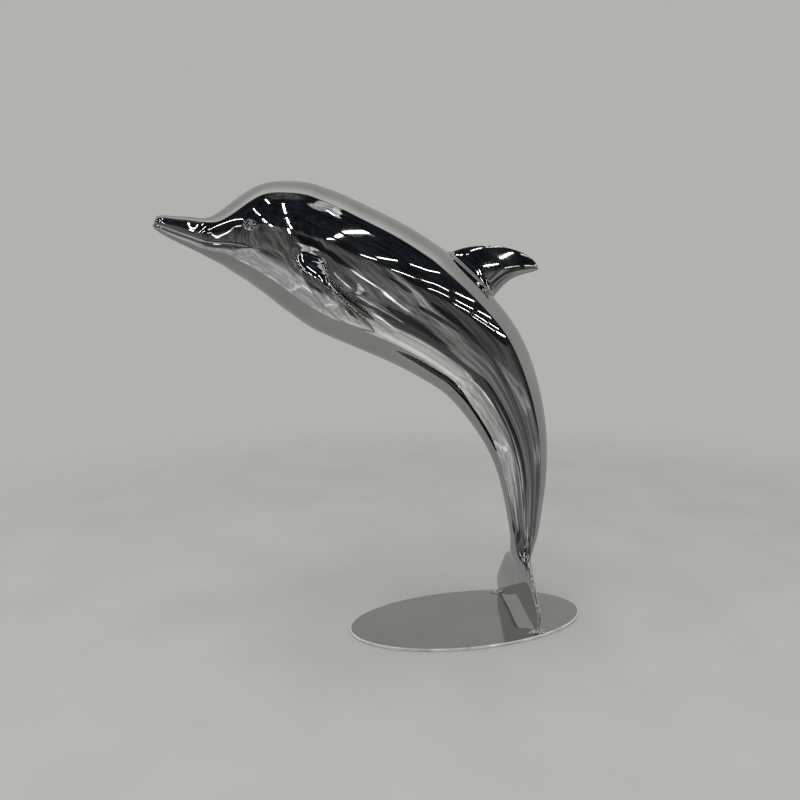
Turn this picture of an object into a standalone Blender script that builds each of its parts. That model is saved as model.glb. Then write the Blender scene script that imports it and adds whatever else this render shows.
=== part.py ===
# Leaping dolphin in polished stainless steel, standing by its fluke tips on a thin oval plate.
# Metres, +Z up. The origin is the middle of the plate's underside. The head points to -X and
# the dolphin's left side faces -Y. The sculpture is symmetric about the XZ plane.
from math import cos, pi, radians, sin, sqrt

import bmesh
import bpy
import numpy as np
from mathutils import Matrix, Vector
from mathutils.bvhtree import BVHTree

# Driving sizes
DOLPHIN_HEIGHT = 0.4336       # plate top to the crown of the head
PLATE_LENGTH = 0.240          # along X
PLATE_THICKNESS = 0.003
PLATE_EDGE_ROUND = 0.0004
PLATE_SIDES = 96
PLATE_MARGIN = 0.0063         # plate left outside each fluke tip
FLUKE_SETBACK_SHARE = 0.2313  # fluke tips behind the plate's middle, as a share of its length
CONTACT_GAP = 0.0003          # between the weld beads and the plate
BEAD_LENGTH = 0.019           # weld bead at each fluke tip, along X
BEAD_WIDTH = 0.010            # along Y
BEAD_HEIGHT = 0.0022
EYE_LENGTH = 0.0125           # raised eye on each side of the head
EYE_HEIGHT = 0.0100
EYE_RELIEF = 0.0016
SUBDIVISION_LEVELS = 1
OVAL_SIDES = 20

# The figure is a free form. Its numbers are thousandths of DOLPHIN_HEIGHT, with X from the
# fluke tips and Z from the plate top.
UNIT = DOLPHIN_HEIGHT / 1000
FLUKE_TIP_X = FLUKE_SETBACK_SHARE * PLATE_LENGTH
SOLE_Z = PLATE_THICKNESS + CONTACT_GAP

RING_SIDES = 16               # points round the body, from the back over the left flank
QUARTER = RING_SIDES // 4
FLANK = QUARTER               # point on the left flank
MOUTH = QUARTER + 1           # point below it, on the line of the mouth

# Cross sections from the beak to the tail stock:
# x and z of the centre, tilt of the section in degrees, half depth, half width, mouth groove
BODY = {
    "beak tip": (-781, 920, 26, 10, 10, 0),
    "beak end": (-769, 916, 24, 17, 17, 1),
    "beak": (-746, 907, 20, 24, 23, 3),
    "beak middle": (-715, 898, 17, 30, 28, 4),
    "beak root": (-685, 891, 16, 37, 35, 5),
    "brow": (-656, 893, 15, 54, 53, 5),
    "melon": (-631, 898, 15, 71, 70, 4),
    "eye": (-608, 900, 15.5, 87, 83, 3),
    "cheek": (-581, 899, 16.5, 101, 93, 1),
    "crown": (-548, 891, 18.5, 114, 103, 0),
    "pectoral front": (-513, 879, 21, 125, 111, 0),
    "pectoral middle": (-482, 863, 23.3, 132, 116, 0),
    "pectoral rear": (-450, 846, 25.5, 137, 119, 0),
    "chest": (-399, 817, 28, 142, 122, 0),
    "ribs": (-336, 786, 28.5, 142, 122, 0),
    "belly": (-283, 758, 29.6, 139, 119, 0),
    "dorsal front": (-244, 735, 31.3, 135, 115, 0),
    "dorsal middle": (-189, 696, 36, 127, 107, 0),
    "dorsal rear": (-140, 655, 42.5, 119, 98, 0),
    "loin": (-95, 610, 49.8, 110, 88, 0),
    "upper stock": (-57, 552, 58, 99, 76, 0),
    "stock": (-23, 478, 67.5, 84, 62, 0),
    "middle stock": (2, 397, 76.7, 68, 49, 0),
    "lower stock": (14, 310, 85, 53, 38, 0),
    "thin stock": (16, 231, 90, 40, 31, 0),
    "stock waist": (15, 185, 92, 32, 30, 0),
    "stock end": (8, 146, 93, 23, 39, 0),
}

# Sections of the flukes: x and z of the centre, half thickness, half span, drop of the tips
FLUKES = (
    (4, 126, 14, 66, 0),
    (2, 104, 10, 97, 8),
    (2, 82, 9, 124, 20),
    (1, 60, 7, 139, 32),
    (0, 38, 5, 124, 44),
)
DROP_POWER = 1.0              # the less it is, the narrower the notch between the two flukes

# Fins as sections from root to tip: leading edge, trailing edge, half thickness
DORSAL_FIN = (
    ((-167, 0, 847), (-61, 0, 745), 17),
    ((-135, 0, 860), (-51, 0, 757), 15),
    ((-96, 0, 864), (-31, 0, 779), 13),
    ((-50, 0, 863), (-6, 0, 793), 11),
    ((0, 0, 851), (24, 0, 799), 8),
    ((38, 0, 829), (47, 0, 806), 4),
)
PECTORAL_FIN = (
    ((-514, -106, 840), (-449, -109, 812), 13),
    ((-509, -126, 820), (-454, -134, 808), 11),
    ((-486, -133, 787), (-452, -144, 788), 8),
    ((-446, -133, 744), (-420, -144, 757), 7),
    ((-410, -127, 713), (-384, -135, 724), 5),
    ((-364, -119, 690), (-354, -121, 689), 3),
)
EDGE_SHARE = 0.18             # chord from a fin's edge to where its thickness starts
EDGE_THICKNESS = 0.5          # thickness there, as a share of the thickest
FULLNESS = 1.1                # fins are drawn fuller than they finish, for the smoothing
EYE = (-598, 908)             # x and z of the eye


def clear_scene():
    for obj in list(bpy.data.objects):
        bpy.data.objects.remove(obj, do_unlink=True)


def new_collection(name):
    collection = bpy.data.collections.new(name)
    bpy.context.scene.collection.children.link(collection)
    return collection


def new_object(name, bm, collection):
    mesh = bpy.data.meshes.new(name)
    bmesh.ops.recalc_face_normals(bm, faces=bm.faces)
    bm.to_mesh(mesh)
    bm.free()
    obj = bpy.data.objects.new(name, mesh)
    collection.objects.link(obj)
    return obj


def steel(name, colour, roughness):
    material = bpy.data.materials.new(name)
    material.use_nodes = True
    shader = material.node_tree.nodes["Principled BSDF"]
    shader.inputs["Base Color"].default_value = colour
    shader.inputs["Metallic"].default_value = 1.0
    shader.inputs["Roughness"].default_value = roughness
    return material


def place(point):
    # From thousandths of the height to metres on the plate
    x, y, z = point
    return Vector((FLUKE_TIP_X + x * UNIT, y * UNIT, PLATE_THICKNESS + z * UNIT))


def body_ring(x, z, tilt, half_depth, half_width, groove):
    up = (sin(radians(tilt)), cos(radians(tilt)))
    points = []
    for i in range(RING_SIDES):
        turn = 2 * pi * i / RING_SIDES
        inward = groove if i in (MOUTH, RING_SIDES - MOUTH) else 0
        rise = (half_depth - inward) * cos(turn)
        points.append((x + up[0] * rise, -(half_width - inward) * sin(turn), z + up[1] * rise))
    return points


def fluke_ring(x, z, half_thickness, half_span, tip_drop):
    points = []
    for i in range(RING_SIDES):
        turn = 2 * pi * i / RING_SIDES
        drop = tip_drop * abs(sin(turn)) ** DROP_POWER
        points.append((x + half_thickness * cos(turn), -half_span * sin(turn), z - drop))
    return points


def smoothing_weights(count, closed):
    # Share of each vertex and of its two neighbours that subdivision leaves in place
    weights = np.eye(count)
    for i in range(count):
        if closed or 0 < i < count - 1:
            weights[i, i] = 4 / 6
            weights[i, (i + 1) % count] += 1 / 6
            weights[i, (i - 1) % count] += 1 / 6
    return weights


def cage_through(rings):
    # A cage whose subdivided surface passes through the rings
    along = np.linalg.inv(smoothing_weights(len(rings), closed=False))
    around = np.linalg.inv(smoothing_weights(RING_SIDES, closed=True))
    return np.einsum("ij,jkc,lk->ilc", along, np.array(rings), around)


def close_end(bm, ring):
    # Quads straight across the ring, with a triangle at each side
    half = RING_SIDES // 2
    for i in range(-QUARTER, QUARTER):
        corners = (i, i + 1, half - i - 1, half - i)
        bm.faces.new(dict.fromkeys(ring[c % RING_SIDES] for c in corners))


def faces_between(bm, grid):
    faces = []
    for row, next_row in zip(grid, grid[1:]):
        for a, b, c, d in zip(row, row[1:], next_row[1:], next_row):
            faces.append(bm.faces.get((a, b, c, d)))
    return faces


def grow(bm, grid, layers):
    # Draws the faces of a grid of vertices out through the layers, each a grid of places
    faces = faces_between(bm, grid)
    for layer in layers:
        before = [vertex.co.copy() for row in grid for vertex in row]
        drawn = bmesh.ops.extrude_face_region(bm, geom=faces)["geom"]
        left = [face for face in faces if face.is_valid]
        if left:
            bmesh.ops.delete(bm, geom=left, context="FACES")
        faces = [item for item in drawn if isinstance(item, bmesh.types.BMFace)]
        pool = {vertex for face in faces for vertex in face.verts}
        copies = [min(pool, key=lambda v, p=p: (v.co - p).length) for p in before]
        width = len(grid[0])
        grid = [copies[i:i + width] for i in range(0, len(copies), width)]
        for row, places in zip(grid, layer):
            for vertex, point in zip(row, places):
                vertex.co = point


def fin_layer(leading, trailing, half_thickness, normal, columns):
    # Places for three rows along the chord, front to back; a column is a share of the thickness
    # and a middle column makes the sharp edge of the fin
    middle = (leading + trailing) / 2
    half_chord = (trailing - leading) / 2 * FULLNESS
    side = 1 - 2 * EDGE_SHARE if 0 in columns else 1
    layer = []
    for along in (-1, 0, 1):
        thickness = half_thickness * (EDGE_THICKNESS if along else 1) * FULLNESS
        layer.append([middle + half_chord * along * (side if column else 1)
                      + normal * thickness * column for column in columns])
    return layer


def grow_dorsal_fin(bm, rings):
    grid = [[ring[1], ring[0], ring[-1]] for ring in rings]
    layers = [fin_layer(place(leading), place(trailing), half * UNIT, Vector((0, 1, 0)), (-1, 0, 1))
              for leading, trailing, half in DORSAL_FIN]
    grow(bm, grid, layers)


def grow_pectoral_fin(bm, rings, side):
    # side is -1 for the left fin, as listed, and 1 for its mirror image on the right
    upper, lower = (FLANK, MOUTH) if side < 0 else (RING_SIDES - FLANK, RING_SIDES - MOUTH)
    grid = [[ring[upper], ring[lower]] for ring in rings]
    mirror = Vector((1, -side, 1))
    edges = [(place(a) * mirror, place(b) * mirror, half * UNIT) for a, b, half in PECTORAL_FIN]
    middles = [(a + b) / 2 for a, b, half in edges]
    layers = []
    for i, (leading, trailing, half) in enumerate(edges):
        span = middles[min(i + 1, len(edges) - 1)] - middles[max(i - 1, 0)]
        normal = (trailing - leading).cross(span).normalized()
        if normal.dot(Vector((0, side, 1))) < 0:
            normal = -normal
        layers.append(fin_layer(leading, trailing, half, normal, (1, -1)))
    grow(bm, grid, layers)


def dolphin_cage():
    sections = [body_ring(*section) for section in BODY.values()]
    sections += [fluke_ring(*section) for section in FLUKES]
    bm = bmesh.new()
    rings = [[bm.verts.new(place(point)) for point in ring] for ring in cage_through(sections)]
    for ring, next_ring in zip(rings, rings[1:]):
        for i in range(RING_SIDES):
            j = (i + 1) % RING_SIDES
            bm.faces.new((ring[i], ring[j], next_ring[j], next_ring[i]))
    close_end(bm, rings[0])
    close_end(bm, rings[-1])
    named = dict(zip(BODY, rings))
    grow_dorsal_fin(bm, [named["dorsal " + part] for part in ("front", "middle", "rear")])
    pectoral_rings = [named["pectoral " + part] for part in ("front", "middle", "rear")]
    for side in (-1, 1):
        grow_pectoral_fin(bm, pectoral_rings, side)
    return bm


def add_oval(bm, centre, size, turn=Matrix.Identity(3)):
    oval = bmesh.ops.create_uvsphere(bm, u_segments=OVAL_SIDES, v_segments=OVAL_SIDES // 2, radius=0.5)
    for vertex in oval["verts"]:
        vertex.co = centre + turn @ (vertex.co * Vector(size))


def eyes_and_beads(dolphin, collection):
    # Ovals that join the body: an eye on each side of the head and a weld bead at each fluke tip
    body = bmesh.new()
    body.from_object(dolphin, bpy.context.evaluated_depsgraph_get())
    surface = BVHTree.FromBMesh(body)
    body.free()
    bm = bmesh.new()
    for side in (-1, 1):
        aim = place((EYE[0], 0, EYE[1]))
        outside = aim + Vector((0, side * DOLPHIN_HEIGHT, 0))
        point, normal, index, distance = surface.ray_cast(outside, Vector((0, -side, 0)))
        along = (Vector((1, 0, 0)) - normal * normal.x).normalized()
        turn = Matrix((along, normal, along.cross(normal))).transposed()
        add_oval(bm, point, (EYE_LENGTH, 2 * EYE_RELIEF, EYE_HEIGHT), turn)
        tip = Vector((FLUKE_TIP_X, side * FLUKES[-1][3] * UNIT, SOLE_Z))
        add_oval(bm, tip, (BEAD_LENGTH, BEAD_WIDTH, 2 * BEAD_HEIGHT))
    return new_object("eyes_and_beads", bm, collection)


def sole_block(collection):
    # Everything below the soles of the weld beads is cut away
    bm = bmesh.new()
    block = bmesh.ops.create_cube(bm, size=DOLPHIN_HEIGHT)
    for vertex in block["verts"]:
        vertex.co += Vector((FLUKE_TIP_X, 0, SOLE_Z - DOLPHIN_HEIGHT / 2))
    return new_object("sole_block", bm, collection)


def boolean(obj, operation, cutter):
    modifier = obj.modifiers.new(cutter.name, "BOOLEAN")
    modifier.operation = operation
    modifier.solver = "EXACT"
    modifier.object = cutter
    cutter.hide_render = True
    cutter.display_type = "WIRE"


def make_dolphin(parts, cutters):
    dolphin = new_object("dolphin", dolphin_cage(), parts)
    dolphin.data.shade_smooth()
    smooth = dolphin.modifiers.new("smooth skin", "SUBSURF")
    smooth.levels = SUBDIVISION_LEVELS
    smooth.render_levels = SUBDIVISION_LEVELS
    boolean(dolphin, "UNION", eyes_and_beads(dolphin, cutters))
    boolean(dolphin, "DIFFERENCE", sole_block(cutters))
    dolphin.data.materials.append(steel("polished stainless steel", (0.62, 0.62, 0.61, 1), 0.06))
    return dolphin


def plate_width():
    # Wide enough at the flukes to leave the margin outside their tips
    half_at_flukes = FLUKES[-1][3] * UNIT + PLATE_MARGIN
    return 2 * half_at_flukes / sqrt(1 - (2 * FLUKE_SETBACK_SHARE) ** 2)


def make_plate(parts):
    bm = bmesh.new()
    bmesh.ops.create_cone(bm, cap_ends=True, segments=PLATE_SIDES, radius1=0.5, radius2=0.5, depth=1)
    for vertex in bm.verts:
        vertex.co *= Vector((PLATE_LENGTH, plate_width(), PLATE_THICKNESS))
        vertex.co.z += PLATE_THICKNESS / 2
    plate = new_object("base_plate", bm, parts)
    plate.data.shade_smooth()
    plate.data.set_sharp_from_angle(angle=radians(30))
    rounding = plate.modifiers.new("rounded edge", "BEVEL")
    rounding.width = PLATE_EDGE_ROUND
    rounding.segments = 1
    rounding.limit_method = "ANGLE"
    plate.data.materials.append(steel("polished steel plate", (0.55, 0.55, 0.54, 1), 0.08))
    return plate


clear_scene()
parts = new_collection("dolphin_sculpture")
cutters = new_collection("cutters")
make_plate(parts)
make_dolphin(parts, cutters)
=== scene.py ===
# Leaping dolphin in mirror polished stainless steel, standing by its fluke tips on a thin oval plate.
# Metres, +Z up: head to -X, the dolphin's left side to -Y, origin under the middle of the plate.
from math import cos, pi, radians, sin, tau

import bmesh
import bpy
import numpy as np
from mathutils import Matrix, Vector, noise
from mathutils.bvhtree import BVHTree


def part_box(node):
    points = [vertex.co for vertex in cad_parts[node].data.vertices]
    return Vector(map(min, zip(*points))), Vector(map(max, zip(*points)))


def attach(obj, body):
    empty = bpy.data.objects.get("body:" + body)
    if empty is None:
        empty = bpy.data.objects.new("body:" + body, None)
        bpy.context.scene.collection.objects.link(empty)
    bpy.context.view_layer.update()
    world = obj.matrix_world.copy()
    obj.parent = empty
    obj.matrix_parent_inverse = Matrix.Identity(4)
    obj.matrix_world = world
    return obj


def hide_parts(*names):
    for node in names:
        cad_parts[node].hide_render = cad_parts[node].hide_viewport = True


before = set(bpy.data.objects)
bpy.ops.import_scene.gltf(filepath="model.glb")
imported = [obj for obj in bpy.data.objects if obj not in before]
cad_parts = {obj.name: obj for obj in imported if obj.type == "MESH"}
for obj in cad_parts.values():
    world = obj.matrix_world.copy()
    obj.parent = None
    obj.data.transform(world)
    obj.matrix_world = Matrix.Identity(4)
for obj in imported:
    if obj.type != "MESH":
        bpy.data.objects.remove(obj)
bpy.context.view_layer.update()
scene = bpy.context.scene
plateLow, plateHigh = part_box("base_plate")
plateTop = plateHigh.z

# Camera

photoView = {
    "place": (-0.2578, -0.792, 0.3688),
    "yaw": 13.63,            # degrees, turned right of +Y
    "pitch": 9.54,           # degrees, looking down
    "roll": -1.0,
    "lens": 38.7,
    "sensor": 36,
}


def addCamera(look):
    data = bpy.data.cameras.new("photoView")
    data.lens = look["lens"]
    data.sensor_width = look["sensor"]
    data.clip_start = 0.05
    camera = bpy.data.objects.new("photoView", data)
    turn = Matrix.Rotation(-radians(look["yaw"]), 4, "Z")
    tilt = Matrix.Rotation(radians(90 - look["pitch"]), 4, "X")
    roll = Matrix.Rotation(radians(look["roll"]), 4, "Z")
    camera.matrix_world = Matrix.Translation(look["place"]) @ turn @ tilt @ roll
    scene.collection.objects.link(camera)
    scene.camera = camera


addCamera(photoView)
scene.view_settings.view_transform = "Standard"
print("camera done")

# Small helpers for nodes and meshes


def addNode(tree, kind, feeds=None, **settings):
    # feeds holds an input's name or number, with a value or the output that feeds it
    node = tree.nodes.new(kind)
    for name, value in settings.items():
        setattr(node, name, value)
    for slot, value in (feeds or {}).items():
        if isinstance(value, bpy.types.NodeSocket):
            tree.links.new(value, node.inputs[slot])
        else:
            node.inputs[slot].default_value = value
    return node


def addRamp(tree, source, stops):
    ramp = addNode(tree, "ShaderNodeValToRGB", {"Fac": source})
    points = ramp.color_ramp.elements
    while len(points) < len(stops):
        points.new(0.5)
    for point, (position, tone) in zip(points, stops):
        point.position = position
        point.color = (*tone, 1) if isinstance(tone, tuple) else (tone, tone, tone, 1)
    return ramp.outputs["Color"]


def meshPiece(name, bm, material):
    bmesh.ops.recalc_face_normals(bm, faces=bm.faces)
    mesh = bpy.data.meshes.new(name)
    bm.to_mesh(mesh)
    bm.free()
    mesh.shade_smooth()
    mesh.materials.append(material)
    piece = bpy.data.objects.new(name, mesh)
    scene.collection.objects.link(piece)
    return piece


def addSubdivision(piece, levels):
    smooth = piece.modifiers.new("smooth", "SUBSURF")
    smooth.levels = levels
    smooth.render_levels = levels


# Room light: a pale side behind the dolphin, and a dark ceiling with rows of tubes in front of it

room = {
    "turn": 12,                             # degrees between the pale side and the dolphin's side
    "lean": 0.156,                          # how far the line between the sides leans back as it rises
    "edge": 0.025,                          # softness of that line
    "backdrop": (0.445, 0.445, 0.430),
    # tones from straight down to straight up
    "paleStops": ((0.0, 0.36), (0.12, 0.32), (0.25, 0.33), (0.5, 0.39), (0.8, 0.42), (0.87, 0.44),
                  (0.94, 0.47), (1.0, 0.46)),
    "darkStops": ((0.0, 1.0), (0.022, 0.85), (0.045, 0.56), (0.08, 0.52), (0.13, 0.40), (0.19, 0.30),
                  (0.25, 0.20), (0.33, 0.145), (0.5, 0.10), (0.6, 0.08), (0.64, 0.06),
                  (0.675, (0.012, 0.015, 0.019)), (0.985, (0.012, 0.015, 0.019)), (1.0, 0.10)),
    "glow": 0.8,                            # how much brighter the pale side is where the two sides meet
    "glowRise": (0.4, 0.75),                # heights between which the glow sets in
    "glowReach": 0.4,                       # how far it reaches into the pale side
    "wander": (4.0, 9.0),                   # waviness of the patches' outlines: size, and depth in degrees
    "patchFade": (0.75, 1.25),              # shares of a patch's half size between which it fades out
    "patchBlue": 1.03,                      # blue of a patch against its red and green
    "streaks": ((8.0, 8.0, 0.8), (30.0, 30.0, 2.4)),     # upright streaks in the dark side
    "streakContrast": ((0.55, 1.5), (0.55, 1.6)),
    "streakNoise": (0.35, 0.65),            # values of the noise that give the darkest and the palest streak
    "streakRise": (-0.8, -0.35),            # heights between which the streaks reach full strength
    "lowStreaks": 0.5,                      # their strength far below
    # soft patches: azimuth, elevation, half width, half height, slope, all in degrees, and tone
    "patches": (
        (-40, -2, 24, 11, 0, 0.095),
        (-37, 14, 25, 7, -6, 0.014),
        (-33, -17, 26, 7, 10, 0.16),
        (-38, -15, 13, 0.7, 13, 0.34),
        (-30, -19, 12, 0.7, 11, 0.30),
        (-33, -11.5, 12, 0.5, 9, 0.26),
        (-56, -5, 3.5, 4, 0, 0.03),
        (-17, -3, 4.5, 11, 0, 0.028),
        (-71, -2, 9, 20, 0, 0.25),
        (-66, -4, 5, 10, 0, 0.33),
        (-67, 3, 2.5, 4, 0, 0.05),
        (-64, -14, 4, 3, 0, 0.04),
        (-79, -12, 1.2, 13, 13, 1.6),
        (-100, 13, 25, 9, 0, 0.10),
        (-91, 9, 10, 9, 0, 0.016),
        (-98, 1, 7, 2.2, 0, 0.7),
        (-94.5, -17, 0.7, 7, 8, 0.9),
        (-89, -21, 0.8, 8, -15, 0.8),
        (-100, -31, 0.8, 7, 10, 0.7),
        (-85, -45, 8, 8, 0, 0.08),
        (-93, -35, 3, 7, 0, 0.08),
        (-79, -35, 5, 7, 0, 0.045),
        (-88, -37, 0.8, 7, 25, 0.6),
        (-93.2, -51, 0.7, 5.5, 15, 1.1),
        (-88, -55.5, 4, 0.6, 25, 0.8),
        (-158, -45, 42, 13, 6, 0.52),
        (-114, -43, 12, 5, 30, 0.60),
        (-126, -47, 9, 1.1, 12, 0.95),
        (-158, -52.5, 20, 0.7, 7, 0.85),
        (-147, -20, 20, 6, -5, 0.045),
        (-159.5, 14, 0.8, 10, 0, 3.0),
        (-152, 24, 7, 0.8, 0, 3.0),
        (-25, 64, 28, 4, 0, 0.45),
        (-20, 60, 20, 1.5, 8, 0.95),
    ),
}

# Tubes of the ceiling: x and y of both ends of each, row by row
tubes = {
    "height": 2.2,
    "width": 0.015,               # for each metre away
    "brightness": 11.0,
    "ends": (
        (-2.58, 0.35, -2.35, -1.15), (-2.10, -1.80, -2.40, -3.30),
        (-1.25, -0.59, -1.33, -1.82), (-1.50, -2.50, -1.82, -3.51), (-1.90, -3.92, -2.14, -4.61),
        (-0.64, -0.22, -0.61, -0.69), (-0.30, -0.74, -0.46, -1.66), (-0.55, -2.13, -0.72, -3.05),
        (-0.76, -3.30, -0.90, -4.20), (-1.15, -4.45, -1.75, -6.60),
        (0.77, -0.79, 0.67, -0.60), (1.16, -0.92, 1.00, -2.00), (0.99, -2.33, 0.93, -3.09),
        (0.91, -3.61, 0.81, -4.12),
        (2.70, -1.08, 2.15, -2.12), (1.92, -2.48, 1.68, -3.36), (1.80, -4.00, 1.51, -4.40),
        (4.15, -1.18, 4.00, -2.32), (4.13, -2.95, 3.28, -4.08), (3.25, -4.58, 2.60, -5.16),
        (5.38, -1.38, 5.36, -2.43), (5.45, -3.00, 5.31, -4.20), (5.47, -4.95, 5.12, -6.65),
        (6.87, -2.10, 6.78, -3.06), (7.02, -3.48, 6.93, -4.54), (7.07, -5.22, 7.03, -6.65),
        (8.60, -2.40, 8.60, -3.90), (8.70, -4.33, 8.60, -5.40), (8.80, -5.70, 8.51, -6.50),
    ),
}

keyLight = {"place": (-0.5, -0.3, 2.1), "size": 1.8, "power": 25}


def rangeNode(tree, source, low, high, toLow, toHigh, style="LINEAR"):
    return addNode(tree, "ShaderNodeMapRange", {
        "Value": source, "From Min": low, "From Max": high, "To Min": toLow, "To Max": toHigh},
        interpolation_type=style).outputs["Result"]


def scaled(tree, colour, factor):
    node = addNode(tree, "ShaderNodeVectorMath", {0: colour, "Scale": factor}, operation="SCALE")
    return node.outputs["Vector"]


def noiseNode(tree, where, scale, detail):
    return addNode(tree, "ShaderNodeTexNoise", {"Vector": where, "Scale": scale, "Detail": detail})


def addPatches(tree, where, around, look):
    # Lays each patch over the room in azimuth and elevation
    axes = addNode(tree, "ShaderNodeSeparateXYZ", {"Vector": where}).outputs
    azimuth = addNode(tree, "ShaderNodeMath", {0: axes["Y"], 1: axes["X"]}, operation="ARCTAN2").outputs[0]
    elevation = addNode(tree, "ShaderNodeMath", {0: axes["Z"]}, operation="ARCSINE").outputs[0]
    angles = addNode(tree, "ShaderNodeCombineXYZ", {"X": azimuth, "Y": elevation}).outputs[0]
    size, depth = look["wander"]
    cloud = noiseNode(tree, where, size, 3.0).outputs["Color"]
    shift = addNode(tree, "ShaderNodeVectorMath", {0: cloud, 1: (0.5, 0.5, 0.5)}, operation="SUBTRACT")
    angles = addNode(tree, "ShaderNodeVectorMath", {
        0: shift.outputs[0], 1: (radians(depth), radians(depth), 0), 2: angles},
        operation="MULTIPLY_ADD").outputs[0]
    for middle, height, halfWidth, halfHeight, slope, tone in look["patches"]:
        local = addNode(tree, "ShaderNodeMapping", {
            "Vector": angles, "Location": (radians(middle), radians(height), 0),
            "Rotation": (0, 0, radians(slope)), "Scale": (radians(halfWidth), radians(halfHeight), 1)},
            vector_type="TEXTURE").outputs["Vector"]
        squared = addNode(tree, "ShaderNodeVectorMath", {0: local, 1: local}, operation="MULTIPLY")
        out = addNode(tree, "ShaderNodeVectorMath", {0: squared.outputs[0]}, operation="LENGTH")
        inside = rangeNode(tree, out.outputs["Value"], *look["patchFade"], 1, 0, "SMOOTHSTEP")
        # A Mix node's colour inputs go by number
        around = addNode(tree, "ShaderNodeMix", {
            0: inside, 6: around, 7: (tone, tone, tone * look["patchBlue"], 1)}, data_type="RGBA").outputs[2]
    return around


def addRoom(look):
    world = bpy.data.worlds.new("room")
    world.use_nodes = True
    scene.world = world
    tree = world.node_tree
    tree.nodes.clear()
    where = addNode(tree, "ShaderNodeTexCoord").outputs["Generated"]
    up = addNode(tree, "ShaderNodeSeparateXYZ", {"Vector": where}).outputs["Z"]
    turn = radians(look["turn"])
    behind = addNode(tree, "ShaderNodeVectorMath", {0: where, 1: (sin(turn), cos(turn), -look["lean"])},
                     operation="DOT_PRODUCT").outputs["Value"]
    height = rangeNode(tree, up, -1, 1, 0, 1)
    high = rangeNode(tree, up, *look["glowRise"], 0, look["glow"], "SMOOTHSTEP")
    near = rangeNode(tree, behind, 0.0, look["glowReach"], 1, 0)
    glow = addNode(tree, "ShaderNodeMath", {0: high, 1: near, 2: 1.0}, operation="MULTIPLY_ADD").outputs[0]
    pale = scaled(tree, addRamp(tree, height, look["paleStops"]), glow)
    dark = addPatches(tree, where, addRamp(tree, height, look["darkStops"]), look)
    level = rangeNode(tree, up, *look["streakRise"], look["lowStreaks"], 1)
    for stretch, contrast in zip(look["streaks"], look["streakContrast"]):
        drawnOut = addNode(tree, "ShaderNodeMapping", {"Vector": where, "Scale": stretch}).outputs["Vector"]
        streak = noiseNode(tree, drawnOut, 1.0, 2.0).outputs["Fac"]
        streak = rangeNode(tree, streak, *look["streakNoise"], *contrast)
        dark = scaled(tree, dark, addNode(tree, "ShaderNodeMix", {0: level, 2: 1.0, 3: streak}).outputs[0])
    side = rangeNode(tree, behind, -look["edge"], look["edge"], 0, 1, "SMOOTHSTEP")
    around = addNode(tree, "ShaderNodeMix", {0: side, 6: dark, 7: pale}, data_type="RGBA").outputs[2]
    # Only the steel's reflections see the room; the camera and the soft light see a plain backdrop
    seen = addNode(tree, "ShaderNodeBackground", {"Color": (*look["backdrop"], 1)}).outputs[0]
    reflected = addNode(tree, "ShaderNodeBackground", {"Color": around}).outputs[0]
    mirrored = addNode(tree, "ShaderNodeLightPath").outputs["Is Glossy Ray"]
    mix = addNode(tree, "ShaderNodeMixShader", {0: mirrored, 1: seen, 2: reflected}).outputs[0]
    addNode(tree, "ShaderNodeOutputWorld", {"Surface": mix})


def addPanel(name, matrix, width, height, brightness):
    data = bpy.data.lights.new(name, "AREA")
    data.shape = "RECTANGLE"
    data.size = width
    data.size_y = height
    data.energy = brightness * pi * width * height
    panel = bpy.data.objects.new(name, data)
    panel.matrix_world = matrix
    panel.visible_camera = False
    scene.collection.objects.link(panel)
    return panel


def facing(where, target):
    turn = (Vector(where) - Vector(target)).to_track_quat("Z", "Y")
    return Matrix.Translation(where) @ turn.to_matrix().to_4x4()


addRoom(room)
for x1, y1, x2, y2 in tubes["ends"]:
    along = Vector((x2 - x1, y2 - y1, 0))
    above = Vector(((x1 + x2) / 2, (y1 + y2) / 2, tubes["height"]))
    turned = Vector((0, 1, 0)).rotation_difference(along).to_matrix().to_4x4()
    addPanel("tube", Matrix.Translation(above) @ turned, tubes["width"] * above.length, along.length,
             tubes["brightness"])
key = addPanel("keyLight", facing(keyLight["place"], (0, 0, 0)), keyLight["size"], keyLight["size"], 1)
key.data.energy = keyLight["power"]
key.visible_glossy = False
print("light done")

# Floor

floorLook = {
    "radius": 1.1,
    "sides": 128,
    "fade": (0.35, 0.98),         # shares of the radius between which it fades into the backdrop
    "behind": 0.1,                # its middle lies this far behind the dolphin
    "light": (0.49, 0.49, 0.477),
    "dark": (0.45, 0.45, 0.441),
    "grain": 9.0,
    "grainNoise": (0.3, 0.7),     # values of the noise that give the dark and the light tone
    "roughness": 0.6,
}


def addFloor(look):
    bm = bmesh.new()
    bmesh.ops.create_circle(bm, cap_ends=True, segments=look["sides"], radius=look["radius"],
                            matrix=Matrix.Translation((0, look["behind"], 0)))
    material = bpy.data.materials.new("paleFloor")
    material.use_nodes = True
    tree = material.node_tree
    shader = tree.nodes["Principled BSDF"]
    where = addNode(tree, "ShaderNodeTexCoord").outputs["Object"]
    cloud = noiseNode(tree, where, look["grain"], 4.0).outputs["Fac"]
    tones = addRamp(tree, cloud, tuple(zip(look["grainNoise"], (look["dark"], look["light"]))))
    tree.links.new(tones, shader.inputs["Base Color"])
    shader.inputs["Roughness"].default_value = look["roughness"]
    out = addNode(tree, "ShaderNodeVectorMath", {0: where, 1: (0, look["behind"], 0)}, operation="DISTANCE")
    start, end = (share * look["radius"] for share in look["fade"])
    fade = rangeNode(tree, out.outputs["Value"], start, end, 1, 0, "SMOOTHERSTEP")
    tree.links.new(fade, shader.inputs["Alpha"])
    floor = meshPiece("floor", bm, material)
    floor.visible_glossy = False                 # the steel mirrors the room instead


addFloor(floorLook)

# Steel: polished on the dolphin and the plate, ground on the edges, rough on the welds; the edges and welds
# also carry painted glints, speckles of near-white and near-black base colour

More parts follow.
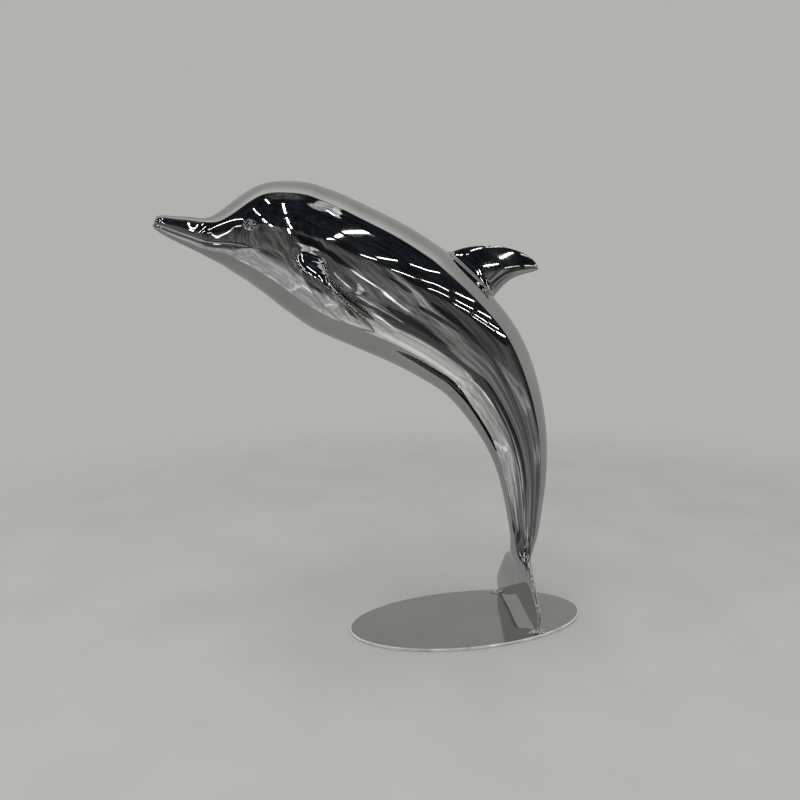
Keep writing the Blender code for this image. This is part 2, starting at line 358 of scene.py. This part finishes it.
steelNoise = (0.32, 0.68)         # values of the noise that give the dark and the light tone
hazeNoise = (0.3, 0.7)            # values of the noise that give the least and the most roughness
hazeGrain = 2.3                   # patches of haze to one patch of tone
mirrorSteel = {
    "metallic": 1.0,              # less than 1 where the steel is ground and scatters the light
    "light": (0.53, 0.53, 0.505),
    "dark": (0.47, 0.475, 0.455),
    "patch": 22.0,                # how many patches of tone to the metre
    "roughness": (0.02, 0.05),
    "waves": 28.0,                # soft waves left by hammering and polishing, to the metre
    "waveDepth": 0.00006,
    "polish": (500.0, 500.0, 60.0),
    "polishDepth": 0.0000015,
}
plateSteel = {
    "metallic": 1.0,
    "light": (0.45, 0.445, 0.415),
    "dark": (0.41, 0.405, 0.38),
    "patch": 14.0,
    "roughness": (0.05, 0.09),
    "waves": 12.0,
    "waveDepth": 0.00003,
    "polish": (60.0, 900.0, 60.0),
    "polishDepth": 0.000002,
}
groundEdgeSteelWithPaintedGlints = {
    "metallic": 0.85,
    # these light and dark speckles of base colour are painted glints and painted dark reflections along the
    # ground edges
    "light": (0.97, 0.97, 0.95),
    "dark": (0.20, 0.20, 0.195),
    "patch": 420.0,
    "roughness": (0.05, 0.14),
    "waves": 420.0,
    "waveDepth": 0.0006,
    "polish": (900.0, 900.0, 300.0),
    "polishDepth": 0.00002,
}
rimSteel = {
    "metallic": 0.4,
    "light": (0.97, 0.97, 0.95),
    "dark": (0.55, 0.55, 0.54),
    "patch": 60.0,
    "roughness": (0.12, 0.22),
    "waves": 180.0,
    "waveDepth": 0.0003,
    "polish": (300.0, 300.0, 900.0),
    "polishDepth": 0.00002,
}
weldSteelWithPaintedGlints = {
    "metallic": 0.8,
    # these light and dark speckles of base colour are painted glints and painted dark reflections on the
    # weld beads
    "light": (0.97, 0.97, 0.95),
    "dark": (0.10, 0.10, 0.095),
    "patch": 480.0,
    "roughness": (0.05, 0.18),
    "waves": 450.0,
    "waveDepth": 0.0002,
    "polish": (1500.0, 1500.0, 1500.0),
    "polishDepth": 0.00001,
}


def steel(name, look):
    material = bpy.data.materials.new(name)
    material.use_nodes = True
    tree = material.node_tree
    shader = tree.nodes["Principled BSDF"]
    shader.inputs["Metallic"].default_value = look["metallic"]
    where = addNode(tree, "ShaderNodeTexCoord").outputs["Object"]
    # patches of tone; on the ground edges and the welds the near-white and near-black speckles are painted
    # glints and painted dark reflections
    patches = noiseNode(tree, where, look["patch"], 3.0).outputs["Fac"]
    tones = addRamp(tree, patches, tuple(zip(steelNoise, (look["dark"], look["light"]))))
    tree.links.new(tones, shader.inputs["Base Color"])
    haze = noiseNode(tree, where, look["patch"] * hazeGrain, 4.0).outputs["Fac"]
    tree.links.new(rangeNode(tree, haze, *hazeNoise, *look["roughness"]), shader.inputs["Roughness"])
    waves = noiseNode(tree, where, look["waves"], 1.0).outputs["Fac"]
    waveBump = addNode(tree, "ShaderNodeBump", {"Height": waves, "Distance": look["waveDepth"]})
    drawnOut = addNode(tree, "ShaderNodeMapping", {"Vector": where, "Scale": look["polish"]})
    lines = noiseNode(tree, drawnOut.outputs["Vector"], 1.0, 2.0).outputs["Fac"]
    lineBump = addNode(tree, "ShaderNodeBump", {
        "Height": lines, "Distance": look["polishDepth"], "Normal": waveBump.outputs["Normal"]})
    tree.links.new(lineBump.outputs["Normal"], shader.inputs["Normal"])
    return material


mirrorFinish = steel("mirrorSteel", mirrorSteel)
plateFinish = steel("plateSteel", plateSteel)
groundEdgeWithPaintedGlints = steel("groundEdgeSteelWithPaintedGlints", groundEdgeSteelWithPaintedGlints)
rimFinish = steel("rimSteel", rimSteel)
weldWithPaintedGlints = steel("weldSteelWithPaintedGlints", weldSteelWithPaintedGlints)
print("materials done")

# Skin of the dolphin: one smooth surface through cross sections from the beak to the flukes

skin = {
    "height": 0.4336,             # plate top to the crown of the head
    "setback": 0.0555,            # fluke tips behind the plate's middle
    "sides": 16,                  # points round a section, from the back over the left flank
    "levels": 3,
    # x and z of the centre, tilt in degrees, half depth, half width; thousandths of the height
    "sections": {
        "beak tip": (-781, 920, 26, 10, 10),
        "beak end": (-769, 916, 24, 17, 17),
        "beak": (-746, 908, 20.5, 23, 22.3),
        "beak middle": (-715, 899, 18, 30, 28.3),
        "beak root": (-685, 891, 16, 37, 35),
        "brow": (-656, 893, 15, 54, 53),
        "melon": (-631, 898, 15, 71, 70),
        "eye": (-608, 900, 15.5, 87, 83),
        "cheek": (-581, 899, 16.5, 101, 93),
        "crown": (-548, 891, 18.5, 114, 103),
        "pectoral front": (-513, 879, 21, 125, 111),
        "pectoral middle": (-482, 863, 23.3, 132, 116),
        "pectoral rear": (-450, 846, 25.5, 137, 119),
        "chest": (-399, 817, 28, 142, 122),
        "ribs": (-336, 786, 28.5, 142, 122),
        "belly": (-283, 758, 29.6, 139, 119),
        "dorsal front": (-244, 735, 31.3, 135, 115),
        "dorsal middle": (-189, 696, 36, 127, 107),
        "dorsal rear": (-140, 655, 42.5, 119, 98),
        "loin": (-95, 610, 49.8, 110, 88),
        "upper stock": (-57, 552, 58, 99, 76),
        "stock": (-23, 478, 67.5, 84, 62),
        "middle stock": (2, 397, 76.7, 68, 49),
        "lower stock": (14, 310, 85, 53, 38),
        "thin stock": (16, 231, 90, 40, 31),
        "stock waist": (15, 185, 92, 32, 30),
        "stock end": (8, 146, 93, 23, 39),
    },
    # x and z of the centre, half thickness, half span, drop of the tips
    "flukes": (
        (4, 126, 14, 66, 0),
        (2, 104, 10, 97, 8),
        (2, 82, 9, 124, 20),
        (1, 60, 7, 139, 32),
        (0, 38, 5, 124, 44),
    ),
    "dropPower": 1.0,             # the less it is, the narrower the notch between the flukes
    "blunt": 0.62,                # the less it is, the blunter the side edges of the flukes
    # fins from root to tip: leading edge, trailing edge, half thickness
    "dorsalFin": (
        ((-167, 0, 847), (-61, 0, 745), 21),
        ((-135, 0, 860), (-51, 0, 757), 19),
        ((-96, 0, 864), (-31, 0, 779), 16),
        ((-50, 0, 863), (-6, 0, 793), 13),
        ((0, 0, 851), (24, 0, 799), 9),
        ((38, 0, 829), (47, 0, 806), 4),
    ),
    "pectoralFin": (
        ((-514, -106, 840), (-449, -109, 812), 13),
        ((-509, -126, 820), (-454, -134, 808), 11),
        ((-493, -132, 784), (-452, -144, 788), 9),
        ((-457, -131, 738), (-420, -144, 757), 8),
        ((-419, -124, 706), (-384, -135, 724), 6),
        ((-364, -119, 690), (-354, -121, 689), 3),
    ),
    "edgeShare": 0.18,            # chord from a fin's edge to where its thickness starts
    # leading edge, thickest place and trailing edge of a fin: place on the chord, share of the thickness
    "dorsalShape": ((-1, 0.3), (0.7, 1), (1, 0.8)),
    "pectoralShape": ((-1, 0.5), (0, 1), (1, 0.95)),
    "fullness": 1.1,              # fins are drawn fuller than they finish
    "finCrease": 0.1,             # sharpness of the line along the root of the dorsal fin
    "mouthEnd": "cheek",          # section where the line of the mouth ends
    "mouthWidth": 0.0011,
    "mouthDepth": 0.0012,
}
unit = skin["height"] / 1000
flank = skin["sides"] // 4
mouth = flank + 1


def place(point):
    x, y, z = point
    return Vector((skin["setback"] + x * unit, y * unit, plateTop + z * unit))


def addRing(bm, centre, up, halfWidth):
    # A circle drawn out to the section; its first point is on the back, the next ones on the left flank
    across = Vector((0, halfWidth, 0))
    frameOfRing = Matrix((across, up, across.cross(up).normalized()))
    matrix = Matrix.Translation(centre) @ frameOfRing.transposed().to_4x4()
    return bmesh.ops.create_circle(bm, segments=skin["sides"], radius=1, matrix=matrix)["verts"]


def smoothingShares(count, closed):
    # What subdivision leaves of a point, and what it takes from each neighbour
    shares = np.eye(count)
    for i in range(count):
        if closed or 0 < i < count - 1:
            shares[i, i] = 4 / 6
            shares[i, (i + 1) % count] += 1 / 6
            shares[i, (i - 1) % count] += 1 / 6
    return shares


def drawThrough(rings):
    # Moves the rings out so that the smoothed skin passes through where they were
    along = np.linalg.inv(smoothingShares(len(rings), False))
    around = np.linalg.inv(smoothingShares(skin["sides"], True))
    points = np.array([[vertex.co for vertex in ring] for ring in rings])
    for ring, row in zip(rings, np.einsum("ij,jkc,lk->ilc", along, points, around)):
        for vertex, point in zip(ring, row):
            vertex.co = point


def ringEdges(bm, ring):
    return [bm.edges.get((ring[i - 1], ring[i])) for i in range(len(ring))]


def closeRing(bm, ring, pairs):
    bmesh.ops.contextual_create(bm, geom=ringEdges(bm, ring))
    for a, b in pairs:
        bmesh.ops.connect_vert_pair(bm, verts=[ring[a], ring[b]])


def growFin(bm, grid, layers):
    # Extrudes the faces of a grid of vertices through the layers, each a grid of places,
    # and returns the vertices of each layer
    faces = [bm.faces.get((a, b, c, d)) for row, nextRow in zip(grid, grid[1:])
             for a, b, c, d in zip(row, row[1:], nextRow[1:], nextRow)]
    grown = []
    for layer in layers:
        before = [vertex.co.copy() for row in grid for vertex in row]
        drawn = bmesh.ops.extrude_face_region(bm, geom=faces)["geom"]
        bmesh.ops.delete(bm, geom=faces, context="FACES")
        faces = [item for item in drawn if isinstance(item, bmesh.types.BMFace)]
        pool = {vertex for face in faces for vertex in face.verts}
        copies = [min(pool, key=lambda v, p=p: (v.co - p).length) for p in before]
        width = len(grid[0])
        grid = [copies[i:i + width] for i in range(0, len(copies), width)]
        for row, places in zip(grid, layer):
            for vertex, point in zip(row, places):
                vertex.co = point
        grown.append([vertex for row in grid for vertex in row])
    return grown


def finLayer(leading, trailing, halfThickness, normal, columns, shape):
    # Three rows along the chord, front to back; a column is a share of the thickness
    centre = (leading + trailing) / 2
    halfChord = (trailing - leading) / 2 * skin["fullness"]
    side = 1 - 2 * skin["edgeShare"] if 0 in columns else 1
    return [[centre + halfChord * along * (side if column else 1)
             + normal * halfThickness * share * skin["fullness"] * column for column in columns]
            for along, share in shape]


def growDorsalFin(bm, rings):
    grid = [[ring[1], ring[0], ring[-1]] for ring in rings]
    layers = [finLayer(place(leading), place(trailing), half * unit, Vector((0, 1, 0)), (-1, 0, 1),
                       skin["dorsalShape"]) for leading, trailing, half in skin["dorsalFin"]]
    root = growFin(bm, grid, layers)[0]
    crease = bm.edges.layers.float.get("crease_edge") or bm.edges.layers.float.new("crease_edge")
    rim = set(root) - {root[4]}
    for edge in {edge for vertex in rim for edge in vertex.link_edges if set(edge.verts) <= rim}:
        edge[crease] = skin["finCrease"]


def growPectoralFin(bm, rings, side):
    # side is -1 for the left fin, as listed, and 1 for its mirror image
    upper, lower = (flank, mouth) if side < 0 else (skin["sides"] - flank, skin["sides"] - mouth)
    grid = [[ring[upper], ring[lower]] for ring in rings]
    mirror = Vector((1, -side, 1))
    edges = [(place(a) * mirror, place(b) * mirror, half * unit) for a, b, half in skin["pectoralFin"]]
    middles = [(a + b) / 2 for a, b, half in edges]
    layers = []
    for i, (leading, trailing, half) in enumerate(edges):
        span = middles[min(i + 1, len(edges) - 1)] - middles[max(i - 1, 0)]
        normal = (trailing - leading).cross(span).normalized()
        if normal.dot(Vector((0, side, 1))) < 0:
            normal = -normal
        layers.append(finLayer(leading, trailing, half, normal, (1, -1), skin["pectoralShape"]))
    growFin(bm, grid, layers)


def cutMouth(bm, rings):
    # A narrow groove from the cheek round the tip of the beak to the other cheek
    line = [ring[mouth] for ring in reversed(rings)] + [ring[-mouth] for ring in rings]
    places = [vertex.co.copy() for vertex in line]
    inward = [-vertex.normal.copy() for vertex in line]
    edges = [bm.edges.get(pair) for pair in zip(line, line[1:])]
    cut = bmesh.ops.bevel(bm, geom=edges, offset=skin["mouthWidth"], offset_type="OFFSET", segments=2,
                          profile=0.5, affect="EDGES", material=-1)
    pool = list(cut["verts"])
    for point, direction in list(zip(places, inward))[1:-1]:
        nearest = min(pool, key=lambda v: (v.co - point).length)
        nearest.co += direction * skin["mouthDepth"]


def flatSide(i):
    # Which broad side of the flukes a point of a ring is on, the back's being 1
    return 1 if i < flank or i > skin["sides"] - flank else -1


def grindEdgesWithPaintedGlints(bm, rings):
    # The side edges of the flukes are ground and not polished, and carry painted glints: speckles of
    # near-white and near-black base colour
    for middle in (flank, -flank):
        edge = {ring[i] for ring in rings for i in range(middle - 1, middle + 2)}
        for face in bm.faces:
            if set(face.verts) <= edge:
                face.material_index = 1


def makeSkin():
    bm = bmesh.new()
    rings = []
    for x, z, tilt, halfDepth, halfWidth in skin["sections"].values():
        up = Vector((sin(radians(tilt)), 0, cos(radians(tilt)))) * halfDepth * unit
        rings.append(addRing(bm, place((x, 0, z)), up, halfWidth * unit))
    for x, z, halfThickness, halfSpan, drop in skin["flukes"]:
        ring = addRing(bm, place((x, 0, z)), Vector((halfThickness * unit, 0, 0)), halfSpan * unit)
        for i, vertex in enumerate(ring):
            angle = tau * i / skin["sides"]
            rise = abs(cos(angle))
            vertex.co.x += (rise ** skin["blunt"] - rise) * halfThickness * unit * flatSide(i)
            vertex.co.z -= drop * unit * abs(sin(angle)) ** skin["dropPower"]
        rings.append(ring)
    drawThrough(rings)
    for ring, nextRing in zip(rings, rings[1:]):
        bmesh.ops.bridge_loops(bm, edges=ringEdges(bm, ring) + ringEdges(bm, nextRing))
    half = skin["sides"] // 2
    closeRing(bm, rings[0], [(i, -i) for i in range(1, half)])
    closeRing(bm, rings[-1], [(i, half - i) for i in range(1 - flank, flank)])
    named = dict(zip(skin["sections"], rings))
    growDorsalFin(bm, [named["dorsal " + part] for part in ("front", "middle", "rear")])
    for side in (-1, 1):
        growPectoralFin(bm, [named["pectoral " + part] for part in ("front", "middle", "rear")], side)
    bm.normal_update()
    cutMouth(bm, rings[:list(skin["sections"]).index(skin["mouthEnd"]) + 1])
    grindEdgesWithPaintedGlints(bm, rings[-len(skin["flukes"]):])
    piece = meshPiece("dolphinSkin", bm, mirrorFinish)
    piece.data.materials.append(groundEdgeWithPaintedGlints)
    addSubdivision(piece, skin["levels"])
    return piece


dolphinSkin = makeSkin()
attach(dolphinSkin, "root")
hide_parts("dolphin")
print("skin done")

# Eyes

eye = {
    "where": (-598, 908),         # x and z in thousandths of the height
    "length": 0.0125,
    "height": 0.0100,
    # share of the radius and rise in millimetres, from the back of the eye to its middle
    "profile": ((0.0, -1.2), (1.0, -1.2), (0.99, 0.0), (0.90, 0.62), (0.78, 0.70), (0.70, 0.30),
                (0.60, 0.28), (0.48, 0.85), (0.26, 1.28), (0.0, 1.42)),
    "steps": 32,
    "levels": 1,
}


def skinSurface():
    bm = bmesh.new()
    bm.from_object(dolphinSkin, bpy.context.evaluated_depsgraph_get())
    surface = BVHTree.FromBMesh(bm)
    bm.free()
    return surface


def makeEye(name, surface, side):
    aim = place((eye["where"][0], 0, eye["where"][1]))
    point, normal, index, distance = surface.ray_cast(aim + Vector((0, side, 0)), Vector((0, -side, 0)))
    along = (Vector((1, 0, 0)) - normal * normal.x).normalized()
    turn = Matrix((along, normal.cross(along), normal)).transposed().to_4x4()
    bm = bmesh.new()
    dots = [bm.verts.new((share / 2, 0, rise / 1000)) for share, rise in eye["profile"]]
    profile = [bm.edges.new(pair) for pair in zip(dots, dots[1:])]
    bmesh.ops.spin(bm, geom=dots + profile, axis=(0, 0, 1), cent=(0, 0, 0), angle=tau,
                   steps=eye["steps"], use_merge=True)
    bmesh.ops.remove_doubles(bm, verts=bm.verts, dist=1e-6)
    bmesh.ops.scale(bm, verts=bm.verts, vec=(eye["length"], eye["height"], 1))
    bmesh.ops.transform(bm, verts=bm.verts, matrix=Matrix.Translation(point) @ turn)
    piece = meshPiece(name, bm, mirrorFinish)
    addSubdivision(piece, eye["levels"])
    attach(piece, "root")


skinShape = skinSurface()
makeEye("leftEye", skinShape, -1)
makeEye("rightEye", skinShape, 1)
print("eyes done")

# Weld beads under the fluke tips

weld = {
    "size": (0.019, 0.010, 0.0044),
    "steps": (48, 32),            # round the bead and over it
    "halfSpan": 124,              # thousandths of the height
    "sink": 0.0001,               # into the plate
    "ripple": 0.0024,             # from one ripple to the next
    "rippleDepth": 0.00022,
    "lump": 420.0,
    "lumpDepth": 0.0006,
    "smooth": 0.25,               # share of the bead's height, from its widest line, where ripples fade in
}


def makeWeld(name, side):
    bm = bmesh.new()
    around, over = weld["steps"]
    bead = bmesh.ops.create_uvsphere(bm, u_segments=around, v_segments=over, radius=0.5)
    bmesh.ops.scale(bm, verts=bead["verts"], vec=weld["size"])
    for vertex in bead["verts"]:
        out = Vector(vertex.co).normalized()
        ripple = sin(tau * vertex.co.x / weld["ripple"]) * weld["rippleDepth"]
        lump = noise.noise(vertex.co * weld["lump"] + Vector((side, 0, 0))) * weld["lumpDepth"]
        vertex.co += out * (ripple + lump) * min(1, abs(vertex.co.z) / (weld["size"][2] * weld["smooth"]))
    centre = place((0, side * weld["halfSpan"], 0))
    bmesh.ops.translate(bm, verts=bm.verts, vec=centre)
    cut = bmesh.ops.bisect_plane(bm, geom=bm.verts[:] + bm.edges[:] + bm.faces[:], clear_inner=True,
                                 plane_co=(0, 0, plateTop - weld["sink"]), plane_no=(0, 0, 1))
    rim = [item for item in cut["geom_cut"] if isinstance(item, bmesh.types.BMEdge)]
    bmesh.ops.contextual_create(bm, geom=rim)
    piece = meshPiece(name, bm, weldWithPaintedGlints)
    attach(piece, "root")


makeWeld("leftWeld", -1)
makeWeld("rightWeld", 1)
print("welds done")

# Plate

plate = {
    "sides": 256,
    "edge": 0.0013,
    "edgeSteps": 6,
    "flat": 0.0012,               # from the rounded edge to where the flat face starts
    "rimTilt": 0.95,              # faces that lean more than this cosine says belong to the ground rim
}


def makePlate():
    bm = bmesh.new()
    oval = bmesh.ops.create_circle(bm, cap_ends=True, segments=plate["sides"], radius=0.5)
    size = plateHigh - plateLow
    bmesh.ops.scale(bm, verts=oval["verts"], vec=(size.x, size.y, 1))
    bmesh.ops.translate(bm, verts=oval["verts"], vec=((plateHigh.x + plateLow.x) / 2, 0, plateLow.z))
    drawn = bmesh.ops.extrude_face_region(bm, geom=bm.faces[:])["geom"]
    top = [item for item in drawn if isinstance(item, bmesh.types.BMVert)]
    bmesh.ops.translate(bm, verts=top, vec=(0, 0, size.z))
    rims = [edge for edge in bm.edges if abs(edge.verts[0].co.z - edge.verts[1].co.z) < 1e-6]
    bmesh.ops.bevel(bm, geom=rims, offset=plate["edge"], offset_type="OFFSET", segments=plate["edgeSteps"],
                    profile=0.5, affect="EDGES", material=-1)
    faces = [face for face in bm.faces if len(face.verts) > 4]
    bmesh.ops.inset_individual(bm, faces=faces, thickness=plate["flat"])
    bm.normal_update()
    for face in bm.faces:
        face.material_index = int(abs(face.normal.z) < plate["rimTilt"])
    piece = meshPiece("ovalPlate", bm, plateFinish)
    piece.data.materials.append(rimFinish)
    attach(piece, "root")
    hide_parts("base_plate")


makePlate()
print("plate done")
